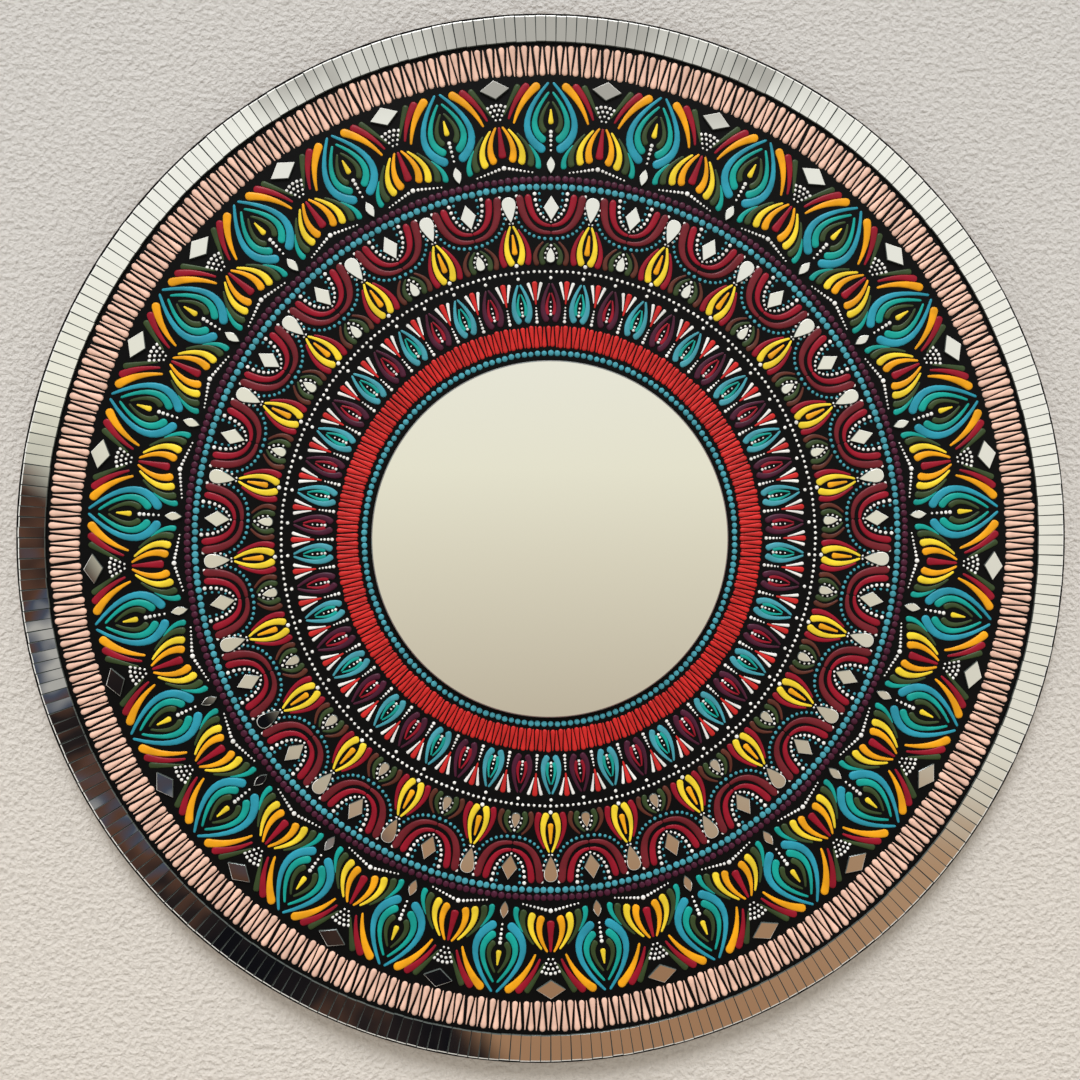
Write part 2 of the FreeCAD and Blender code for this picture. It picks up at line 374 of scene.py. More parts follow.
def build_ring_tree():
    group = bpy.data.node_groups.new("carry_round_the_axis", "GeometryNodeTree")
    wanted = {
        "Geometry": "NodeSocketGeometry", "Count": "NodeSocketInt", "First share": "NodeSocketFloat",
        "Radius": "NodeSocketFloat", "Depth": "NodeSocketFloat", "Slip": "NodeSocketFloat",
        "Rise": "NodeSocketFloat", "Tilt": "NodeSocketFloat", "Uneven": "NodeSocketFloat",
        "Seed": "NodeSocketInt", "Material": "NodeSocketMaterial",
    }
    for name, kind in wanted.items():
        group.interface.new_socket(name, in_out="INPUT", socket_type=kind)
    group.interface.new_socket("Geometry", in_out="OUTPUT", socket_type="NodeSocketGeometry")
    tree = Tree(group)
    source = group.nodes.new("NodeGroupInput")
    given = {name: Sock(tree, source.outputs[name]) for name in wanted}

    def chance(extra):
        limits = {0: (-1.0, -1.0, -1.0), 1: (1.0, 1.0, 1.0), "Seed": given["Seed"] + extra}
        return tree.node("FunctionNodeRandomValue", {"data_type": "FLOAT_VECTOR"}, limits)

    def vector(**parts):
        return tree.node("ShaderNodeCombineXYZ", None, parts)

    first = chance(0)
    second = chance(second_draw)
    step = (tree.node("GeometryNodeInputIndex") + given["First share"]) / given["Count"]
    angle = step * AROUND + tree.axis(first, "X") * given["Slip"]
    reach = given["Radius"] + tree.axis(first, "Y") * given["Rise"]
    sine = tree.node("ShaderNodeMath", {"operation": "SINE"}, {0: angle})
    cosine = tree.node("ShaderNodeMath", {"operation": "COSINE"}, {0: angle})
    spot = vector(X=sine * reach, Y=given["Depth"], Z=cosine * reach)
    points = tree.node("GeometryNodePoints", None, {"Count": given["Count"], "Position": spot})
    nod = tree.axis(second, "X") * given["Tilt"]
    roll = tree.axis(second, "Y") * given["Tilt"]
    facing = tree.node("FunctionNodeEulerToRotation", None, {0: vector(Y=angle)})
    tilting = tree.node("FunctionNodeEulerToRotation", None, {0: vector(X=nod, Z=roll)})
    both = tree.node("FunctionNodeRotateRotation", {"rotation_space": "LOCAL"}, {0: facing, 1: tilting})
    size = 1.0 + tree.axis(second, "Z") * given["Uneven"]
    scale = vector(X=size, Y=1.0, Z=size)
    copies = {"Points": points, "Instance": given["Geometry"], "Rotation": both, "Scale": scale}
    placed = tree.node("GeometryNodeInstanceOnPoints", None, copies)
    real = tree.node("GeometryNodeRealizeInstances", None, {0: placed})
    done = tree.node("GeometryNodeSetMaterial", None, {"Geometry": real, "Material": given["Material"]})
    sink = group.nodes.new("NodeGroupOutput")
    group.links.new(done.out, sink.inputs[0])
    return group


ring_tree = build_ring_tree()
print("ring tree nodes:", len(ring_tree.nodes))

# %% [markdown]
# ## From shape to piece
# A shape here is a list of corners and a list of faces. It becomes a mesh with its faces turned
# outwards, and then a piece that rides on a body. A piece that repeats goes through the tree once
# and comes out as a plain mesh, because a saved model keeps meshes and not trees.


# %% Make pieces
def new_mesh(name, verts, faces, marks=None, smooth=True):
    """A closed mesh with its faces turned outwards. marks holds one cut_edge value for each face."""
    mesh = bpy.data.meshes.new(name)
    mesh.from_pydata(verts, [], faces)
    shape = bmesh.new()
    shape.from_mesh(mesh)
    bmesh.ops.recalc_face_normals(shape, faces=shape.faces)
    shape.to_mesh(mesh)
    shape.free()
    if marks:
        edge = mesh.attributes.new("cut_edge", "FLOAT", "FACE")
        edge.data.foreach_set("value", marks)
    mesh.polygons.foreach_set("use_smooth", [smooth] * len(mesh.polygons))
    return mesh


def add_object(name, data):
    made = bpy.data.objects.new(name, data)
    bpy.context.scene.collection.objects.link(made)
    return made


def new_piece(name, mesh, body):
    piece = add_object(name, mesh)
    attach(piece, body)
    print(f"{name}: {len(mesh.polygons)} faces")
    return piece


def single_piece(name, shape, material, body, marks=None, smooth=True):
    mesh = new_mesh(name, *shape, marks, smooth)
    mesh.materials.append(material)
    return new_piece(name, mesh, body)


def carry_round(name, mesh, material, slot, count, **values):
    """Repeats a mesh round the axis; values are inputs of the ring tree."""
    maker = add_object(name + "_maker", mesh)
    modifier = maker.modifiers.new("ring", "NODES")
    modifier.node_group = ring_tree
    inputs = [item for item in ring_tree.interface.items_tree if item.in_out == "INPUT"]
    sockets = {item.name: item.identifier for item in inputs}
    values.update({"Count": count, "Material": material})
    for key, value in values.items():
        modifier[sockets[key]] = value
    evaluated = maker.evaluated_get(bpy.context.evaluated_depsgraph_get())
    ring = bpy.data.meshes.new_from_object(evaluated)
    ring.name = name
    maker.modifiers.remove(modifier)
    bpy.data.objects.remove(maker)
    return new_piece(name, ring, "board")


def bridge(near, far):
    """Faces between two rings of corners; a ring of one corner is a point."""
    count = max(len(near), len(far))
    faces = []
    for k in range(count):
        after = (k + 1) % count
        if len(near) == 1:
            faces.append((near[0], far[after], far[k]))
        elif len(far) == 1:
            faces.append((near[k], near[after], far[0]))
        else:
            faces.append((near[k], near[after], far[after], far[k]))
    return faces


def join(shapes):
    """One shape from several."""
    verts = []
    faces = []
    for more_verts, more_faces in shapes:
        start = len(verts)
        verts += more_verts
        faces += [tuple(start + corner for corner in face) for face in more_faces]
    return verts, faces


print("piece helpers ready")

# %% [markdown]
# ## Strokes and dots
# A pulled stroke starts as a round blob and is drawn out to a thin tail. A bevelled curve could
# show it, but its tube would be half buried. So it is a strip of domed cross-sections along a bent
# line, closed underneath. A dot is a low dome of a few dozen faces, because there are thousands.

# %% Pull strokes and set dots
# A dome's height over its half width, its greatest height, and how full its flanks are.
dome_share = 0.38
dome_top = 0.95 * MM
dome_fullness = 0.7
# The paint's foot is a hair inside the board, so that no light shows under it.
paint_sink = 0.05 * MM
paint_foot = board_front + paint_sink
# The round ends: their longest share of a stroke, and where they get a cross-section.
longest_head_share = 0.45
longest_tail_share = 0.3
head_round_shares = (0.0, 0.13, 0.5)
tail_round_shares = (0.3, 0.0)
# The share of a stroke that is looked ahead and back for its direction.
glance_share = 0.01
# A cross-section narrower than this is a point.
point_width = 1e-7
# A dot's rings, as angles up its dome, and the corners of a ring.
dot_turns = (0.0, 0.55, 1.1)
dot_corners = 10
small_dot_corners = 8


def bend(first, middle, last, share):
    """A point of the curve from first to last that leans towards middle."""
    near = first.lerp(middle, share)
    far = middle.lerp(last, share)
    return near.lerp(far, share)


def rounded(share):
    """How wide a round end is, 0 at its tip and 1 where it is full."""
    return math.sqrt(max(1 - (1 - share) ** 2, 0.0))


def stroke_shape(first, middle, last, head, tail, body_steps, round_steps, taper):
    """A pulled stroke in the (x, z) plane; head and tail are half widths."""
    length = ((middle - first).length + (last - middle).length + (last - first).length) / 2
    head_share = min(head / length, longest_head_share)
    tail_share = min(tail / length, longest_tail_share)
    body_share = 1 - head_share - tail_share
    shares = [head_share * place for place in head_round_shares]
    shares += [head_share + body_share * k / body_steps for k in range(body_steps + 1)]
    shares += [1 - tail_share * place for place in tail_round_shares]
    verts = []
    rings = []
    for share in shares:
        centre = bend(first, middle, last, share)
        ahead = bend(first, middle, last, min(share + glance_share, 1.0))
        behind = bend(first, middle, last, max(share - glance_share, 0.0))
        along = (ahead - behind).normalized()
        side = Vector((along.y, -along.x))
        half = head + (tail - head) * share ** taper
        if share < head_share:
            half *= rounded(share / head_share)
        if share > 1 - tail_share:
            half *= rounded((1 - share) / tail_share)
        start = len(verts)
        if half < point_width:
            verts.append((centre.x, paint_foot, centre.y))
        else:
            for k in range(round_steps + 1):
                turn = math.pi * k / round_steps
                edge = centre + side * (half * math.cos(turn))
                rise = min(half * dome_share, dome_top) * math.sin(turn) ** dome_fullness
                verts.append((edge.x, paint_foot - rise, edge.y))
        rings.append(list(range(start, len(verts))))
    faces = []
    for near, far in zip(rings, rings[1:]):
        faces += bridge(near, far)
    return verts, faces


def dot_shape(centre, radius, corners=dot_corners):
    """A dot in the (x, z) plane: rings of corners up a dome, and a flat foot."""
    height = min(radius * dome_share, dome_top)
    verts = []
    rings = []
    for turn in dot_turns:
        out = radius * math.cos(turn)
        rings.append(list(range(len(verts), len(verts) + corners)))
        for k in range(corners):
            around = AROUND * k / corners
            x = centre.x + out * math.sin(around)
            z = centre.y + out * math.cos(around)
            verts.append((x, paint_foot - height * math.sin(turn), z))
    rings.append([len(verts)])
    verts.append((centre.x, paint_foot - height, centre.y))
    faces = [tuple(reversed(rings[0]))]
    for near, far in zip(rings, rings[1:]):
        faces += bridge(near, far)
    return verts, faces


print("faces in a dot:", len(dot_shape(Vector((0, 0)), MM)[1]))

# %% [markdown]
# ## A motif
# The painter works sector by sector, one colour after another. A `Motif` does the same: it collects
# the strokes and dots of one sector, sorted by colour, and each colour goes round the axis in one
# piece. Places are shares, so that a motif fits its band at any size: across is -1 to 1 over the
# sector and up is 0 to 1 over the band. Half widths and dot radii are in millimetres.

# %% Collect motifs
hand_slip = 0.0012
hand_rise = 0.25 * MM
# Steps along a stroke and across it, and how late it thins; above 1, its head stays wide for longer.
stroke_steps = (11, 6)
stroke_taper = 1.25
stroke_uneven = 0.004
# The distance between the dots of a field, over their radius.
field_dot_pitch = 2.5


class Motif:
    """The strokes and dots of one sector of a band, sorted by colour."""

    def __init__(
            self, name, inner, outer, count, first_share, seed, steps=stroke_steps, taper=stroke_taper):
        self.name = name
        self.inner = inner
        self.outer = outer
        self.count = count
        self.first_share = first_share
        self.seed = seed
        self.steps = steps
        self.taper = taper
        self.middle = (inner + outer) / 2
        self.shapes = {}

    def at(self, across, up):
        radius = self.inner + up * (self.outer - self.inner)
        angle = across * math.pi / self.count
        return Vector((radius * math.sin(angle), radius * math.cos(angle) - self.middle))

    def add(self, colour, shape):
        self.shapes.setdefault(colour, []).append(shape)

    def stroke(self, colour, first, middle, last, head, tail):
        ends = [self.at(*place) for place in (first, middle, last)]
        self.add(colour, stroke_shape(*ends, head * MM, tail * MM, *self.steps, self.taper))

    def pair(self, colour, first, middle, last, head, tail):
        """The same stroke on both sides of the sector's middle line."""
        for side in (1, -1):
            ends = [(side * across, up) for across, up in (first, middle, last)]
            self.stroke(colour, *ends, head, tail)

    def dot(self, colour, place, radius):
        self.add(colour, dot_shape(self.at(*place), radius * MM))

    def dots(self, colour, first, middle, last, count, start_radius, end_radius, sides=(1, -1)):
        """A row of dots along a bent line, growing or shrinking, on both sides."""
        for side in sides:
            ends = [self.at(side * across, up) for across, up in (first, middle, last)]
            for k in range(count):
                share = k / max(count - 1, 1)
                radius = start_radius + (end_radius - start_radius) * share
                spot = bend(*ends, share)
                if side > 0 or spot.x < -radius * MM:
                    self.add(colour, dot_shape(spot, radius * MM))

    def dot_field(self, colour, foot, rows, gap, start_radius, end_radius, spread):
        """Rows of dots in arcs about a foot, larger row by row; spread is half the fan's angle."""
        centre = self.at(*foot)
        for row in range(1, rows + 1):
            reach = row * gap * MM
            radius = start_radius + (end_radius - start_radius) * row / rows
            count = max(int(2 * spread * row * gap / (field_dot_pitch * radius)), 1)
            for k in range(count + 1):
                turn = spread * (2 * k / count - 1)
                spot = centre + reach * Vector((math.sin(turn), math.cos(turn)))
                self.add(colour, dot_shape(spot, radius * MM, small_dot_corners))

    def build(self, slot, uneven=stroke_uneven):
        pieces = {}
        for colour, shapes in self.shapes.items():
            name = f"{self.name}_{colour}"
            one = new_mesh(name + "_one", *join(shapes))
            pieces[colour] = carry_round(
                name, one, paint[colour], slot, self.count, Radius=self.middle, Slip=hand_slip,
                Rise=hand_rise, Uneven=uneven, Seed=self.seed, **{"First share": self.first_share})
        return pieces


print("motifs ready")

# %% [markdown]
# ## Outer band: lotus petals
# Twenty-five closed petals stand round the outer band. Each is three nested pairs of pulled strokes
# with a small flame at its heart. Fans of drops fill the gaps between the petals, and the wide
# mirror diamonds sit above those fans. The solids have one plate for each petal, which the petal's
# outermost pair replaces.

# %% Paint the petals
petal_inner, petal_outer = ring_span("lotus_petals")
petal_floor = ring_span("marquise_inlays")[0]

petals = Motif("lotus", petal_inner, petal_outer, sector_count, first_share=0.0, seed=11)
petals.pair("teal", (0.12, 0.05), (0.85, 0.36), (0.035, 0.98), 3.9, 1.1)
petals.pair("turquoise", (0.11, 0.18), (0.56, 0.4), (0.03, 0.85), 3.4, 1.0)
petals.pair("green", (0.1, 0.3), (0.31, 0.44), (0.025, 0.72), 2.7, 0.9)
petals.stroke("yellow", (0.0, 0.41), (0.0, 0.5), (0.0, 0.62), 2.6, 0.6)
petals.dots("white", (0.0, 0.31), (0.0, 0.2), (0.0, 0.06), 5, 1.75, 1.0, sides=(1,))
petal_pieces = petals.build("teal_paint")
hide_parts("lotus_petals")

fans = Motif("fan", petal_floor, petal_outer, sector_count, first_share=0.5, seed=12)
fans.stroke("crimson", (0.0, 0.19), (0.0, 0.3), (0.0, 0.53), 3.6, 1.0)
fans.pair("orange", (0.17, 0.14), (0.34, 0.3), (0.06, 0.53), 3.4, 0.9)
fans.pair("yellow", (0.36, 0.11), (0.53, 0.28), (0.17, 0.5), 3.3, 0.9)
fans.pair("green", (0.55, 0.08), (0.7, 0.24), (0.33, 0.45), 3.1, 0.8)
fans.pair("turquoise", (0.72, 0.055), (0.8, 0.17), (0.55, 0.32), 2.7, 0.7)
fans.dots("white", (0.11, 0.075), (0.35, 0.045), (0.6, 0.02), 7, 1.4, 0.8)
fans.dot("white", (0.0, 0.085), 2.1)
fans.pair("orange", (0.8, 0.965), (0.46, 0.82), (0.29, 0.55), 3.8, 0.9)
fans.pair("crimson", (0.61, 0.965), (0.36, 0.84), (0.2, 0.6), 3.4, 0.9)
fans.pair("green", (0.44, 0.965), (0.3, 0.84), (0.12, 0.65), 2.8, 0.8)
fans.dot_field("white", (0.0, 0.56), 4, 4.0, 0.8, 1.5, 0.5)
fans.build("yellow_paint")

# %% [markdown]
# ## Middle band: scallops and flames
# Half ovals hang from the dotted ring, each holding a tall mirror diamond. Between them a mirror
# drop hangs over a flame of yellow and orange, and a small mirror teardrop stands below each oval.

# %% Paint the scallops and flames
scallop_top = ring_span("scallops")[1]
scallop_floor = ring_span("flame_leaves")[0]

scallops = Motif("scallop", scallop_floor, scallop_top, sector_count, first_share=0.0, seed=21)
scallops.pair("maroon", (0.74, 0.97), (0.72, 0.46), (0.0, 0.465), 3.6, 1.5)
scallops.pair("crimson", (0.54, 0.97), (0.52, 0.57), (0.0, 0.555), 3.1, 1.3)
scallops.dots("white", (0.38, 0.97), (0.37, 0.68), (0.0, 0.605), 8, 1.7, 1.0)
scallops.dots("blue", (0.27, 0.97), (0.28, 0.84), (0.19, 0.72), 4, 1.3, 0.9)
scallops.dots("blue", (0.9, 0.84), (0.86, 0.4), (0.0, 0.385), 11, 1.1, 1.6)
scallops.pair("green", (0.2, 0.05), (0.4, 0.2), (0.06, 0.33), 2.6, 0.8)
scallops.pair("brown", (0.38, 0.045), (0.58, 0.2), (0.2, 0.35), 2.4, 0.8)
scallops.dots("white", (0.17, 0.14), (0.17, 0.24), (0.0, 0.3), 4, 0.9, 1.2)
scallop_pieces = scallops.build("crimson_paint")
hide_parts("scallops")

flames = Motif("flame", scallop_floor, scallop_top, sector_count, first_share=0.5, seed=22)
flames.pair("yellow", (0.09, 0.06), (0.36, 0.26), (0.03, 0.57), 3.1, 0.9)
flames.stroke("orange", (0.0, 0.19), (0.0, 0.3), (0.0, 0.46), 2.6, 0.8)
flames.pair("crimson", (0.31, 0.05), (0.52, 0.24), (0.15, 0.52), 2.7, 0.8)
flames.dots("white", (0.2, 0.95), (0.24, 0.76), (0.04, 0.6), 6, 1.4, 0.9)
flames.dot("white", (0.0, 0.05), 1.8)
flame_pieces = flames.build("yellow_paint")
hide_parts("flame_leaves")

# %% [markdown]
# ## Inner band: a ring of leaves
# Two leaves to a sector, plum and blue in turn, with a row of white dots in each and a red drop
# between their tips. Both leaves are the same drawing in other colours, so one function paints them.

# %% Paint the ring of leaves
leaf_inner = ring_span("ring_leaves")[0]
leaf_ceiling = scallop_floor
leaf_count = 2 * sector_count


def paint_leaf(name, outline, vein, first_share, seed):
    leaves = Motif(name, leaf_inner, leaf_ceiling, sector_count, first_share, seed)
    leaves.pair(outline, (0.1, 0.05), (0.48, 0.28), (0.03, 0.74), 2.8, 0.9)
    leaves.pair(vein, (0.08, 0.17), (0.23, 0.3), (0.02, 0.57), 1.8, 0.6)
    leaves.dots("white", (0.0, 0.18), (0.0, 0.26), (0.0, 0.4), 4, 1.25, 0.7, sides=(1,))
    leaves.dot("white", (0.0, 0.84), 1.5)
    return leaves.build("plum_paint")


plum_leaves = paint_leaf("plum_leaf", "plum", "crimson", first_share=0.0, seed=31)
paint_leaf("blue_leaf", "blue", "turquoise", first_share=0.5, seed=32)
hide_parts("ring_leaves")

tips = Motif("leaf_gap", leaf_inner, leaf_ceiling, leaf_count, first_share=0.5, seed=33)
tips.stroke("red", (0.0, 0.78), (0.0, 0.6), (0.0, 0.36), 2.5, 0.6)
tips.pair("white", (0.42, 0.76), (0.28, 0.64), (0.12, 0.44), 1.5, 0.4)
tips.dots("white", (0.0, 0.3), (0.0, 0.19), (0.0, 0.05), 5, 0.75, 1.5, sides=(1,))
tips.build("crimson_paint")

# %% [markdown]
# ## Combs
# The combs are drops laid head to tail, one pointing in and the next pointing out, so that the black
# between them runs in a zigzag. They are pulled fast and by eye, so they vary more than the other
# strokes do, and hundreds of them leave room for only a few faces each.

# %% Paint the combs
peach_shares = (0.893, 0.992)
red_shares = (0.04, 0.112)
peach_pairs = 262
red_pairs = 153
comb_steps = (4, 4)
comb_taper = 0.75
comb_uneven = 0.055


def paint_comb(name, colour, shares, pairs, head_share, tail_share, slot, seed):
    """head_share and tail_share are half widths in shares of the room that one drop has."""
    inner = field_radius(shares[0])
    outer = field_radius(shares[1])
    room = math.pi * (inner + outer) / 2 / pairs / MM
    head = head_share * room
    tail = tail_share * room
    comb = Motif(
        name, inner, outer, pairs, first_share=0.0, seed=seed, steps=comb_steps, taper=comb_taper)
    comb.stroke(colour, (-0.52, 0.99), (-0.5, 0.5), (-0.44, 0.04), head, tail)
    comb.stroke(colour, (0.46, 0.01), (0.48, 0.5), (0.52, 0.96), head, tail)
    comb.build(slot, comb_uneven)


paint_comb(
    "outer_comb", "peach", peach_shares, peach_pairs, head_share=0.68, tail_share=0.08,
    slot="yellow_paint", seed=41)
paint_comb(
    "inner_comb", "red", red_shares, red_pairs, head_share=0.74, tail_share=0.17,
    slot="crimson_paint", seed=42)

# %% [markdown]
# ## Dotted rings
# Four rings of single dots part the bands, each set down one by one with the end of a stick. A ring
# is a motif with one dot and as many sectors as it has dots. The rows say colour, place as a share
# of the field, radius in millimetres, count and slot.

# %% Set the dotted rings
dot_uneven = 0.07
first_dot_seed = 50
dot_rings = {
    "outer_teal_dots": ("blue", 0.546, 2.85, 308, "teal_paint"),
    "plum_dots": ("plum", 0.57, 2.95, 318, "plum_paint"),
    "white_chain": ("white", 0.281, 1.3, 300, "yellow_paint"),
    "inner_teal_dots": ("blue", 0.0235, 2.6, 176, "teal_paint"),
}
for order, (name, (colour, share, radius, count, slot)) in enumerate(dot_rings.items()):
    dot_circle = field_radius(share)
    ring = Motif(name, dot_circle, dot_circle, count, first_share=0.0, seed=first_dot_seed + order)
    ring.dot(colour, (0.0, 0.0), radius)
    ring.build(slot, dot_uneven)

# %% [markdown]
# ## Cut mirror
# Inlays and tiles are cut from thin mirror. Each piece is a flat plate with a fine ground edge. A
# bevel modifier could grind it, but here each corner is drawn in by its own amount, and the edges
# that face away from the axis are painted near-white, a painted highlight where they catch the
# light.

# %% Cut a piece of mirror
ground_depth = 0.3 * MM


def plate(outline, face, back, chamfer, insets=None):
    """A plate from corners (x, z): a face at one y, an edge that is chamfer deep, walls and a back.

    insets says how far the face's corners are drawn in; without it they are drawn in by chamfer."""
    count = len(outline)
    middle = sum((Vector(corner) for corner in outline), Vector((0, 0))) / count
    step = chamfer if back > face else -chamfer
    none = [0.0] * count
    verts = []
    for depth, draws in ((face, insets or [chamfer] * count), (face + step, none), (back, none)):
        for corner, draw in zip(outline, draws):
            arm = Vector(corner) - middle
            spot = middle + arm * (1 - draw / arm.length)
            verts.append((spot.x, depth, spot.y))
    top, edge, foot = [list(range(k * count, (k + 1) * count)) for k in range(3)]
    faces = [tuple(top), tuple(foot)] + bridge(top, edge) + bridge(edge, foot)
    return verts, faces


def cut_mirror(name, outline, thickness, insets):
    """A piece of mirror about its own middle; its outward edges get a painted highlight."""
    verts, faces = plate(outline, -thickness / 2, thickness / 2, ground_depth, insets)
    rises = [corner[1] + following[1] for corner, following in zip(outline, outline[1:] + outline[:1])]
    # Edges that face away from the axis get the painted highlight; the others are bare glass.
    ground = [ground_edge_highlight if rise > ground_depth else bare_glass for rise in rises]
    marks = [silvered, bare_glass] + ground + [bare_glass] * len(outline)
    return new_mesh(name, verts, faces, marks, smooth=False)


print("ground edge", ground_depth, "m deep")

# %% [markdown]
# ## Inlays
# Five kinds of inlay lie among the strokes, one of each to a sector: wide and tall diamonds,
# marquises, drops and small teardrops. They are set by hand, so each leans a fraction of a degree
# its own way. That is why a ring of them glitters: the lean decides which part of the room each
# one shows. Sizes are the length along the radius and the width across it.

# %% Lay the inlays
inlay_inset = 0.5 * MM
inlay_lean = math.radians(0.7)
wide_diamond_size = (16.1 * MM, 25.1 * MM)
marquise_size = (14.4 * MM, 7.0 * MM)
tall_diamond_size = (21.4 * MM, 13.5 * MM)
drop_size = (22.0 * MM, 11.7 * MM)
teardrop_size = (13.0 * MM, 7.6 * MM)
outward = 1
inward = -1
tip_crowding = 1.7
side_bow = 0.85
end_roundness = 3


def lay_inlays(node, outline, first_share, seed):
    """Mirror pieces that stand for one node, at that node's place."""
    low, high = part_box(node)
    inner, outer = ring_span(node)
    name = node + "_cut"
    one = cut_mirror(name + "_one", outline, high.y - low.y, [inlay_inset] * len(outline))
    piece = carry_round(
        name, one, inlay_glass, "inlay_mirror", sector_count, Radius=(inner + outer) / 2,
        Depth=(low.y + high.y) / 2, Tilt=inlay_lean, Slip=hand_slip, Seed=seed,
        **{"First share": first_share})
    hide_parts(node)


def both_sides(right):
    """A closed outline from its right side, which starts and ends on the middle line."""
    return right + [(-x, z) for x, z in right[-2:0:-1]]


def diamond_outline(length, width):
    return [(0, length / 2), (width / 2, 0), (0, -length / 2), (-width / 2, 0)]


def marquise_outline(length, width, steps=8):
    shares = [k / steps for k in range(steps + 1)]
    right = [(width / 2 * math.sin(math.pi * share), (share - 0.5) * length) for share in shares]
    return both_sides(right)


def drop_outline(length, width, pointing, steps=14):
    """A point at one end, bowed sides, and a round end that is widest near 0.7 of the length."""
    rises = [1 - (1 - k / steps) ** tip_crowding for k in range(steps + 1)]
    widths = [share ** side_bow * math.sqrt(max(1 - share ** end_roundness, 0.0)) for share in rises]
    fill = width / 2 / max(widths)
    right = [(fill * half, pointing * (share - 0.5) * length) for half, share in zip(widths, rises)]
    return both_sides(right)


lay_inlays("outer_diamond_inlays", diamond_outline(*wide_diamond_size), first_share=0.5, seed=61)
lay_inlays("marquise_inlays", marquise_outline(*marquise_size), first_share=0.0, seed=62)
lay_inlays("inner_diamond_inlays", diamond_outline(*tall_diamond_size), first_share=0.0, seed=63)
lay_inlays("drop_inlays", drop_outline(*drop_size, outward), first_share=0.5, seed=64)
lay_inlays("teardrop_inlays", drop_outline(*teardrop_size, inward), first_share=0.0, seed=65)

# %% [markdown]
# ## Rim of tiles
# The rim is a row of tiles cut as slim wedges, with a thin black joint between them. They end a
# little short of their bed, which leaves a black line round the outside, and their outer edge is
# painted near-white, a painted highlight that draws a bright line inside it.

# %% Lay the rim tiles
tile_low, tile_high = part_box("border_tiles")
tile_joint = 0.36 * MM
tile_short = 1.9 * MM
side_inset = 0.3 * MM
outer_inset = 1.0 * MM
tile_lean = math.radians(0.32)
tile_slip = 0.0003
tile_rise = 0.25 * MM
tile_uneven = 0.01
tile_half_step = math.pi / tile_count
tile_end = tile_outer - tile_short
tile_length = tile_end * math.cos(tile_half_step) - tile_inner
half_outer = tile_end * math.sin(tile_half_step) - tile_joint / 2
half_inner = tile_inner * math.sin(tile_half_step) - tile_joint / 2
tile_outline = [
    (half_inner, -tile_length / 2), (-half_inner, -tile_length / 2),
    (-half_outer, tile_length / 2), (half_outer, tile_length / 2),
]
tile_insets = [side_inset, side_inset, outer_inset, outer_inset]
one_tile = cut_mirror("rim_tile", tile_outline, tile_high.y - tile_low.y, tile_insets)
tiles = carry_round(
    "rim_tiles", one_tile, tile_glass, "tile_mirror", tile_count, Radius=tile_inner + tile_length / 2,
    Depth=(tile_low.y + tile_high.y) / 2, Tilt=tile_lean, Slip=tile_slip, Rise=tile_rise,
    Uneven=tile_uneven, Seed=71)
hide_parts("border_tiles")

# %% [markdown]
# ## Board and centre mirror
# Both are turned shapes. The solids are faceted, so smoother ones with a small bevel stand for
# them: a profile is spun round the axis in fine steps, as on a lathe. The screw modifier spins too,
# but a loop leaves a plain mesh with one corner at each pole.


# %% Turn the board and the mirror
def lathe(profile, steps, centre=(0.0, 0.0)):
    """Spins a profile of (radius, y), from one end's middle to the other's, round a line along Y."""
    verts = []
    rings = []
    for radius, depth in profile:
        turns = [AROUND * k / steps for k in range(steps)] if radius else [0.0]
        rings.append(list(range(len(verts), len(verts) + len(turns))))
        for turn in turns:
            x = centre[0] + radius * math.sin(turn)
            z = centre[1] + radius * math.cos(turn)
            verts.append((x, depth, z))
    faces = []
    for near, far in zip(rings, rings[1:]):
        faces += bridge(near, far)
    return verts, faces


fine_steps = 240
board_bevel = 0.4 * MM
board_profile = [
    (0, board_front), (board_radius - board_bevel, board_front), (board_radius, board_front + board_bevel),
    (board_radius, board_rear - board_bevel), (board_radius - board_bevel, board_rear), (0, board_rear),
]
board_shape = lathe(board_profile, fine_steps)
board = single_piece("black_board", board_shape, board_paint, "board", smooth=False)
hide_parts("backing_board")

mirror_low, mirror_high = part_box("centre_mirror")
mirror_bevel = 1.0 * MM
# The bevel is drawn three quarters of the way to bare glass, which darkens the line round the mirror's
# edge.
darkened_bevel = 0.75
mirror_profile = [
    (0, mirror_low.y), (mirror_radius - mirror_bevel, mirror_low.y),
    (mirror_radius, mirror_low.y + mirror_bevel), (mirror_radius, mirror_high.y), (0, mirror_high.y),
]
mirror_marks = []
for mark in (silvered, darkened_bevel, bare_glass, bare_glass):
    mirror_marks += [mark] * fine_steps
mirror_shape = lathe(mirror_profile, fine_steps)
mirror = single_piece("round_mirror", mirror_shape, centre_glass, "board", mirror_marks, False)
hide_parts("centre_mirror")

# %% [markdown]
# ## Hangers
# Each hanger is a strip of plated steel. Its upper end is rolled into an eye, and a D of round wire
# swings in that eye. The D is bent from one length of wire, so it is one tube along one closed line;
# it rides on its own body, because it turns. At rest it leans a little away from the board.

# %% Bend the rings
eye_radius = 2.8 * MM
wire_radius = 1.5 * MM
ring_half = 11.5 * MM
ring_corner = 3.0 * MM
leg_top = 9.0 * MM
ring_lean = math.radians(3.0)
wire_sections = 14
corner_steps = 6
bow_steps = 32


def arc_points(centre_x, centre_z, radius, start, end, steps):
    turns = [start + (end - start) * k / steps for k in range(steps + 1)]
    return [Vector((centre_x + radius * math.cos(t), centre_z + radius * math.sin(t))) for t in turns]


def ring_line():
    """The middle of the wire, from the right end of the bar up, over and down to the left end."""
    corner_x = ring_half - ring_corner
    right = arc_points(corner_x, ring_corner, ring_corner, -math.pi / 2, 0, corner_steps)
    top = arc_points(0, leg_top, ring_half, 0, math.pi, bow_steps)
    left = arc_points(-corner_x, ring_corner, ring_corner, math.pi, 1.5 * math.pi, corner_steps)
    return right + top + left


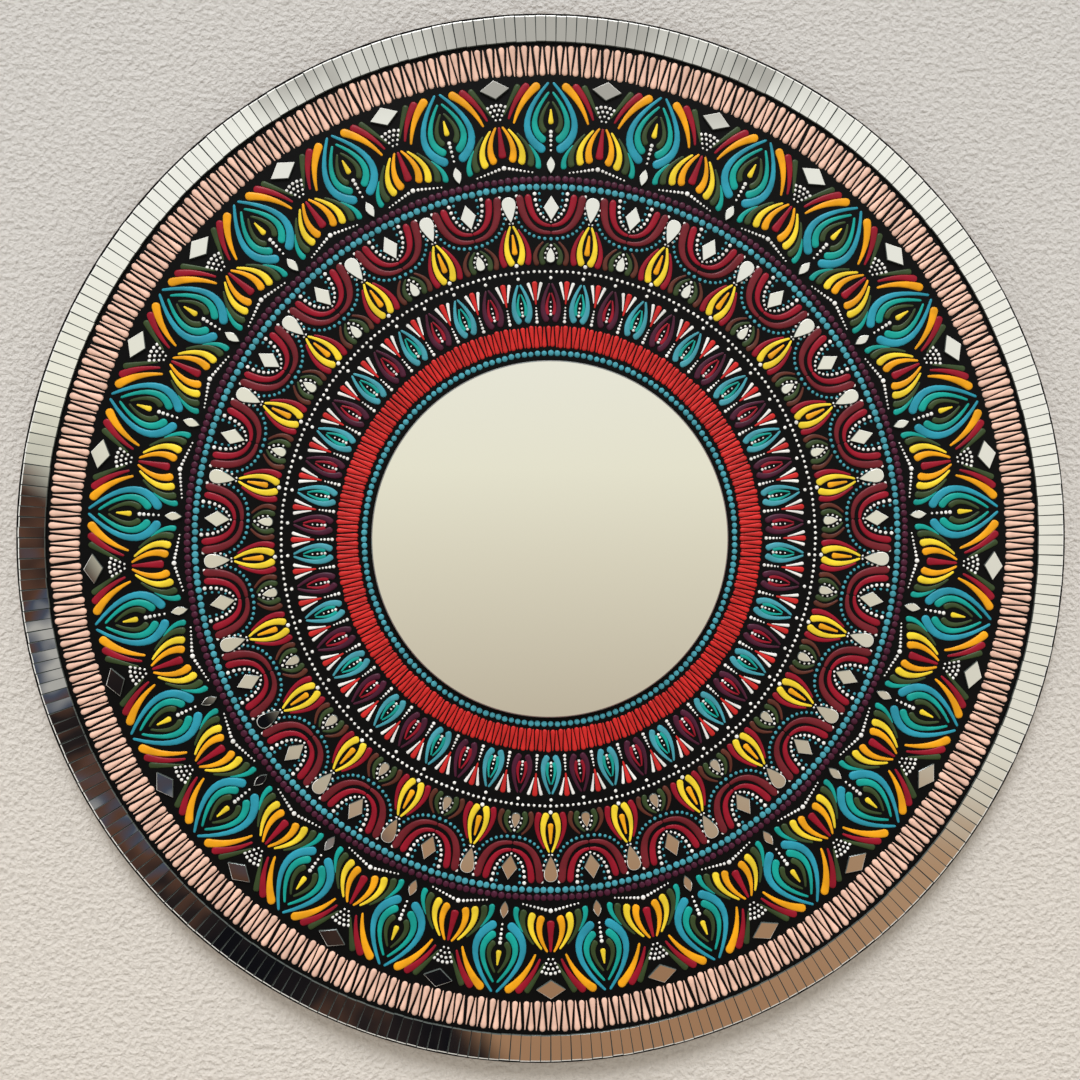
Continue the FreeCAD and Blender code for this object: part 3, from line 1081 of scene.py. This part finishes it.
def bend_ring(side, pivot):
    line = ring_line()
    verts = []
    faces = []
    for k, spot in enumerate(line):
        along = (line[(k + 1) % len(line)] - line[k - 1]).normalized()
        outwards = Vector((along.y, -along.x))
        for section in range(wire_sections):
            turn = AROUND * section / wire_sections
            flat = spot + outwards * (wire_radius * math.cos(turn))
            depth = wire_radius * math.sin(turn)
            y = depth * math.cos(ring_lean) - flat.y * math.sin(ring_lean)
            z = depth * math.sin(ring_lean) + flat.y * math.cos(ring_lean)
            verts.append((pivot.x + flat.x, pivot.y + y, pivot.z + z))
    rings = [list(range(k * wire_sections, (k + 1) * wire_sections)) for k in range(len(line))]
    for k, ring in enumerate(rings):
        faces += bridge(ring, rings[(k + 1) % len(rings)])
    piece = single_piece(side + "_wire_ring", (verts, faces), steel, side + "_ring")
    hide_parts(side + "_hanger_ring")


print("wire line:", len(ring_line()), "points")

# %% [markdown]
# ## Straps
# The strip under each ring has a round foot and a rolled top. Bending it from one sheet would take a
# long outline for a seam that nobody sees, so it is a plate with a hollow roll set on its end. The
# ring's bar passes through the roll.

# %% Roll the straps
bore_radius = 1.6 * MM
strap_thickness = 1.2 * MM
strap_face = board_rear + strap_thickness
strap_edge = 0.25 * MM
foot_steps = 18
eye_steps = 28


def roll_strap(side, pivot, low):
    half = pivot.x - low.x
    foot = arc_points(pivot.x, low.z + half, half, 0, -math.pi, foot_steps)
    outline = [Vector((pivot.x - half, pivot.z)), Vector((pivot.x + half, pivot.z))] + foot
    verts, faces = plate(outline, strap_face, board_rear, strap_edge)
    start = len(verts)
    edges = ((-half, bore_radius), (-half, eye_radius), (half, eye_radius), (half, bore_radius))
    for x, radius in edges:
        for k in range(eye_steps):
            turn = AROUND * k / eye_steps
            y = pivot.y + radius * math.sin(turn)
            z = pivot.z + radius * math.cos(turn)
            verts.append((pivot.x + x, y, z))
    rolls = [list(range(start + k * eye_steps, start + (k + 1) * eye_steps)) for k in range(len(edges))]
    for k, roll in enumerate(rolls):
        faces += bridge(roll, rolls[(k + 1) % len(rolls)])
    name = side + "_steel_strap"
    piece = single_piece(name, (verts, faces), steel, "board", smooth=False)
    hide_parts(side + "_hanger_strap")


pivots = {}
for side in ("left", "right"):
    low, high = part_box(side + "_hanger_strap")
    pivots[side] = Vector(((low.x + high.x) / 2, high.y - eye_radius, high.z - eye_radius))
    bend_ring(side, pivots[side])
    roll_strap(side, pivots[side], low)

# %% [markdown]
# ## Screws
# Pan head screws hold the straps. A head is turned like the board, and a thin dark cross on its
# crown is painted shade that stands for the recess: a cut one would be too small to tell from it.

# %% Turn the screws
screw_drops = (9.0 * MM, 27.0 * MM)
head_radius = 3.2 * MM
head_skirt = 0.4 * MM
head_steps = 28
head_height = 1.75 * MM
crown = strap_face + head_height
crown_curve = ((0.0, 0.0), (1.5 * MM, 0.1 * MM), (2.4 * MM, 0.4 * MM), (2.95 * MM, 0.9 * MM))
head_profile = [(radius, crown - drop) for radius, drop in crown_curve]
head_profile += [(head_radius, strap_face + head_skirt), (head_radius, strap_face), (0, strap_face)]
cross_arm = 1.7 * MM
cross_half = 0.42 * MM
cross_edge = 0.05 * MM
cross_proud = 0.02 * MM
cross_depth = 0.5 * MM


def cross_outline(centre, arm, half):
    corners = [(half, arm), (half, half), (arm, half), (arm, -half), (half, -half), (half, -arm)]
    corners += [(-x, -z) for x, z in corners]
    return [(centre[0] + x, centre[1] + z) for x, z in corners]


screw_spots = [(pivot.x, pivot.z - drop) for pivot in pivots.values() for drop in screw_drops]
heads = [lathe(head_profile, head_steps, spot) for spot in screw_spots]
recess_shade_crosses = []
for spot in screw_spots:
    outline = cross_outline(spot, cross_arm, cross_half)
    recess_shade_crosses.append(plate(outline, crown + cross_proud, crown - cross_depth, cross_edge))
screw_heads = single_piece("screw_heads", join(heads), steel, "board")
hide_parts("hanger_screws")
# Painted shade: a dark cross stands for the shade in each recess.
single_piece("screw_recess_shade", join(recess_shade_crosses), glue_and_recess_shade, "board", smooth=False)

# %% [markdown]
# ## Bumpers and glue
# Rubber bumpers keep the board off the wall: four turned feet, wider where they sit on the board.
# The glue under the tiles and the mirror keeps its solid shape and only gets its finish.

# %% Turn the bumpers
bumper_low, bumper_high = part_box("wall_bumpers")
bumper_radius = 10.0 * MM
bumper_reach = bumper_high.x - bumper_radius
bumper_steps = 36
bumper_profile = [
    (0, 0), (7.2 * MM, 0), (7.8 * MM, -0.25 * MM), (8.2 * MM, -1.0 * MM),
    (9.4 * MM, -5.0 * MM), (9.95 * MM, bumper_low.y), (0, bumper_low.y),
]
bumper_spots = [(x * bumper_reach, z * bumper_reach) for x in (-1, 1) for z in (-1, 1)]
bumper_shapes = [lathe(bumper_profile, bumper_steps, spot) for spot in bumper_spots]
bumpers = single_piece("rubber_bumpers", join(bumper_shapes), rubber, "board")
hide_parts("wall_bumpers")

for node in ("tile_adhesive", "mirror_mastic"):
    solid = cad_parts[node]
    solid.data.materials.clear()
    solid.data.materials.append(glue_and_recess_shade)

# %% [markdown]
# ## Wall
# A wall mirror needs a wall: plain, pale roughcast. One quad with a bumped material is enough, since
# it is only a stage. Its colour carries painted light, paler and warmer towards the bottom, and
# painted shade in its pits. It is clear from behind, so that the board's back can be seen through it.

# %% Stage the wall
wall_reach = 9.0
wall_gap = 0.5 * MM
wall_face = cad_box[1][1] + wall_gap


def plaster(name, below, above):
    """Roughcast with painted light and shade: paler and warmer below the mirror; clear from behind."""
    material, tree, shader = new_finish(name)
    place = tree.place()
    lumps = tree.noise(place, scale=225.0, detail=3.0)
    # Painted light: the colour is paler and warmer below the mirror, where more light falls.
    painted_light_tint = tree.mix(tree.band(tree.axis(place, "Z"), -0.5, 0.5), below, above)
    # Painted shade: the hollows between the lumps are darkened.
    painted_pit_shade = 1.0 - tree.band(lumps, 0.34, 0.56)
    tree.feed(shader.inputs["Base Color"], tree.mix(0.1 * painted_pit_shade, painted_light_tint, srgb(110, 104, 96)))
    shader.inputs["Roughness"].default_value = 0.8
    shader.inputs["Specular IOR Level"].default_value = 0.2
    tree.relief(shader, strength=0.85, depth=3.6 * MM, height=lumps)
    clear = tree.node("ShaderNodeBsdfTransparent")
    back = tree.node("ShaderNodeNewGeometry", output="Backfacing")
    both = tree.node("ShaderNodeMixShader", None, {0: back, 1: Sock(tree, shader.outputs[0]), 2: clear})
    output = material.node_tree.nodes["Material Output"]
    material.node_tree.links.new(both.out, output.inputs["Surface"])
    return material


wall_mesh = bpy.data.meshes.new("wall")
wall_sides = ((-1, -1), (1, -1), (1, 1), (-1, 1))
wall_corners = [(x * wall_reach, wall_face, z * wall_reach) for x, z in wall_sides]
wall_mesh.from_pydata(wall_corners, [], [(0, 1, 2, 3)])
# Paler and warmer below, darker above: painted light.
wall_mesh.materials.append(plaster("wall_plaster", srgb(226, 219, 209), srgb(214, 211, 206)))
wall = add_object("wall", wall_mesh)
wall.visible_shadow = False
wall.visible_diffuse = False
wall.visible_glossy = False
print("wall at y =", wall_face)

# %% [markdown]
# ## Surround
# The mirror shows what stands before it, so the surround matters as much as the finish. Cards round
# the camera could make it, but a world that only mirrors see is simpler: a soft studio, cream all
# round, warm and darker below, with a dark screen to the left that gives the rim its contrast.
# Other surfaces get an even light, and the camera sees a plain backdrop.

# %% Light the surround
ambient_light = (0.56, 0.53, 0.49, 1.0)
backdrop = srgb(222, 220, 215)
height_stops = [
    (0.0, srgb(104, 74, 50)), (0.29, srgb(160, 122, 92)), (0.345, srgb(172, 138, 108)),
    (0.38, srgb(190, 178, 158)), (0.46, srgb(222, 216, 196)), (0.5, srgb(236, 233, 214)),
    (0.6, srgb(243, 243, 236)),
]
screen_stops = [
    (0.36, srgb(16, 16, 20)), (0.48, srgb(36, 30, 30)), (0.56, srgb(86, 60, 48)),
    (0.62, srgb(66, 74, 90)), (0.68, srgb(170, 168, 164)),
]


def studio_tones(tree):
    """What a mirror shows in each direction."""
    direction = tree.node("ShaderNodeTexCoord", output="Generated")
    across = tree.axis(direction, "X")
    up = tree.axis(direction, "Z")
    cloud = tree.noise(direction, scale=5.0, detail=2.0)
    streak = tree.noise(direction, scale=9.0, detail=3.0)
    haze = tree.band(up, 0.27, 0.32) * (0.55 + 0.45 * tree.band(cloud, 0.42, 0.56))
    hazy = tree.mix(haze, tree.ramp(up * 0.5 + 0.5, height_stops), srgb(176, 174, 168))
    bright = tree.mix(tree.band(up, -0.15, 0.1), srgb(228, 225, 213), srgb(243, 242, 234))
    east = tree.mix(tree.band(across, 0.26, 0.42) * tree.band(up, -0.3, -0.2), hazy, bright)
    grey = tree.band(-1.0 * across, 0.31, 0.37) * tree.band(cloud, 0.4, 0.6)
    west = tree.mix(grey, east, srgb(168, 166, 156))
    corner = -0.75 * across - 0.65 * up + 0.1 * (cloud - 0.5)
    screen = tree.band(corner, 0.27, 0.3) * (1.0 - tree.band(corner, 0.44, 0.54))
    return tree.mix(screen, west, tree.ramp(streak, screen_stops))


def surround():
    world = bpy.data.worlds.new("studio")
    bpy.context.scene.world = world
    world.use_nodes = True
    world.node_tree.nodes.clear()
    tree = Tree(world.node_tree)
    ray = tree.nodes.new("ShaderNodeLightPath")
    kinds = ("Is Camera Ray", "Is Glossy Ray", "Is Transmission Ray")
    camera, glossy, through = [Sock(tree, ray.outputs[kind]) for kind in kinds]
    settings = {"operation": "ADD", "use_clamp": True}
    mirrored = tree.node("ShaderNodeMath", settings, {0: glossy, 1: through})
    plain = tree.mix(camera, ambient_light, backdrop)
    light = tree.mix(mirrored, plain, studio_tones(tree))
    background = tree.node("ShaderNodeBackground", None, {"Color": light, "Strength": 1.0})
    output = tree.nodes.new("ShaderNodeOutputWorld")
    tree.links.new(background.out, output.inputs["Surface"])


surround()
print("surround:", len(bpy.context.scene.world.node_tree.nodes), "nodes")

# %% [markdown]
# ## Lamps
# A broad light falls from above the camera, like a room's ceiling, and gives each dome of paint its
# shadow side. A weak soft box on the left lifts the strokes, and one behind lights the back.

# %% Set the lamps
overhead_fall = Vector((0.2, 1.6, -2.3))
overhead_spread = math.radians(24)
overhead_strength = 2.4
overhead_tint = (0.97, 1.0, 1.05)


def aim(lamp, direction):
    lamp.rotation_euler = direction.to_track_quat("-Z", "Y").to_euler()


def soft_box(name, place, size, power):
    """A rectangle of light that faces the mirror's middle."""
    data = bpy.data.lights.new(name, "AREA")
    data.shape = "RECTANGLE"
    data.size, data.size_y = size
    data.energy = power
    lamp = add_object(name, data)
    lamp.location = place
    aim(lamp, -Vector(place))


soft_box("side_light", place=(-2.4, -1.0, 0.9), size=(0.9, 1.4), power=2.5)
soft_box("rear_light", place=(1.2, 2.2, 1.6), size=(1.2, 1.2), power=44.0)

overhead_data = bpy.data.lights.new("overhead_light", "SUN")
overhead_data.energy = overhead_strength
overhead_data.angle = overhead_spread
overhead_data.color = overhead_tint
aim(add_object("overhead_light", overhead_data), overhead_fall)
print("lamps:", ", ".join(bpy.data.lights.keys()))

# %% [markdown]
# ## Camera
# The camera stands about a metre off, a little left of the axis and a little above it, looking very
# slightly to the right. The shift frames the mirror as the picture has it.

# %% Set the camera
camera_distance = 0.987
camera_left = 0.0438
camera_above = 0.0606
camera_pitch = math.radians(89.88)
camera_yaw = math.radians(-2.46)
camera_shift = (-0.0086, -0.0644)
sensor_width = 36.0
focal_length = 38.53
camera_data = bpy.data.cameras.new("camera")
camera_data.sensor_width = sensor_width
camera_data.lens = focal_length
camera_data.shift_x, camera_data.shift_y = camera_shift
camera = add_object("camera", camera_data)
camera.location = (-camera_left, tile_low.y - camera_distance, camera_above)
camera.rotation_euler = (camera_pitch, 0, camera_yaw)
bpy.context.scene.camera = camera
bpy.context.scene.view_settings.view_transform = "Standard"
print("camera at", tuple(camera.location))
